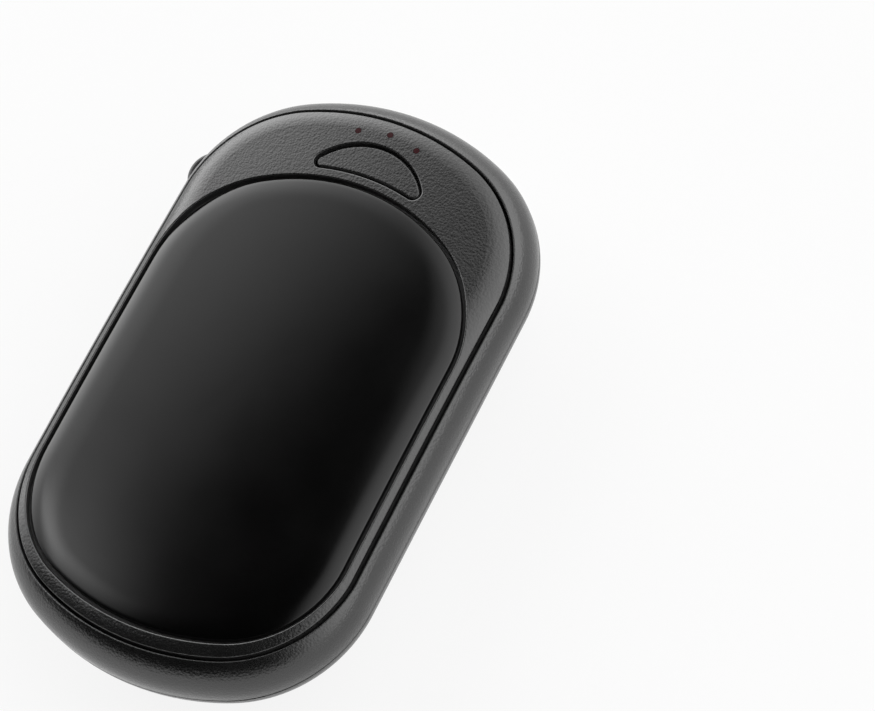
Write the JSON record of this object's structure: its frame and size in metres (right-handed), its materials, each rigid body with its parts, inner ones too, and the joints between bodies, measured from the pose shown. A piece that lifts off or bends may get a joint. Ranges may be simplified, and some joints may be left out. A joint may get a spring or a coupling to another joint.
{
  "type": "rechargeable hand warmer",
  "caption": "Flat pocket hand warmer with rounded ends: grained shells, a smooth heat panel, a crescent press button, indicator lights, a charging bay and a lanyard loop.",
  "frame": {"origin": "middle of the flat back, on which the case lies", "axes": "+Z out of the heat panel, +Y towards the button and charging end, +X to the right seen from the front"},
  "size_m": [0.0592, 0.0952, 0.0244],
  "materials": {
    "shell_black": "black with a fine leather-like grain",
    "panel_black": "smooth satin black coat",
    "button_black": "black with a fine leather-like grain",
    "light_red": "deep red, unlit",
    "trim_black": "plain black",
    "port_steel": "nickel plated",
    "loop_black": "satin black",
    "board_green": "solder mask",
    "chip_black": "moulded",
    "led_pale": "clear lens",
    "ferrite": "pressed",
    "switch_spring": "bright",
    "cell_wrap": "shrink wrap",
    "holder_grey": "moulded",
    "nickel": "rolled",
    "foam": "closed-cell foam",
    "heater_film": "amber film",
    "plate_bare": "rolled",
    "bead_black": "resin",
    "lead_red": "silicone sleeve",
    "lead_white": "silicone sleeve",
    "screw_steel": "zinc plated"
  },
  "bodies": {
    "case": {"rear_shell": "shell_black", "front_shell": "shell_black", "bezel": "shell_black", "heat_panel": "panel_black", "light_pipes": "light_red", "port_surround": "trim_black", "usb_c_shell": "port_steel", "usb_c_tongue": "trim_black", "lanyard_loop": "loop_black", "main_board": "board_green", "indicator_leds": "led_pale", "switch_body": "chip_black", "switch_dome": "switch_spring", "board_chips": "chip_black", "power_inductor": "ferrite", "battery_cells": "cell_wrap", "cell_holder": "holder_grey", "nickel_strips": "nickel", "cell_pad": "foam", "front_heater_film": "heater_film", "rear_heat_plate": "plate_bare", "rear_heater_film": "heater_film", "temperature_sensor": "bead_black", "sensor_leads": "lead_white", "battery_leads": "lead_red", "front_heater_leads": "lead_white", "rear_heater_leads": "lead_white", "case_screws": "screw_steel", "board_screws": "screw_steel"},
    "button": {"power_button": "button_black"},
    "switch_plunger": {"switch_stem": "chip_black"}
  },
  "joints": [
    {"name": "button_press", "type": "slide", "parent": "case", "child": "button", "axis": [0, 0, -1], "range_m": [0, 0.0004], "stiffness_N_per_m": 4000},
    {"name": "switch_press", "type": "slide", "parent": "case", "child": "switch_plunger", "axis": [0, 0, -1], "range_m": [0, 0.0004], "deforming": ["switch_dome"]}
  ],
  "couplings": [
    {"joint": "switch_press", "follows": "button_press", "ratio": 1}
  ]
}
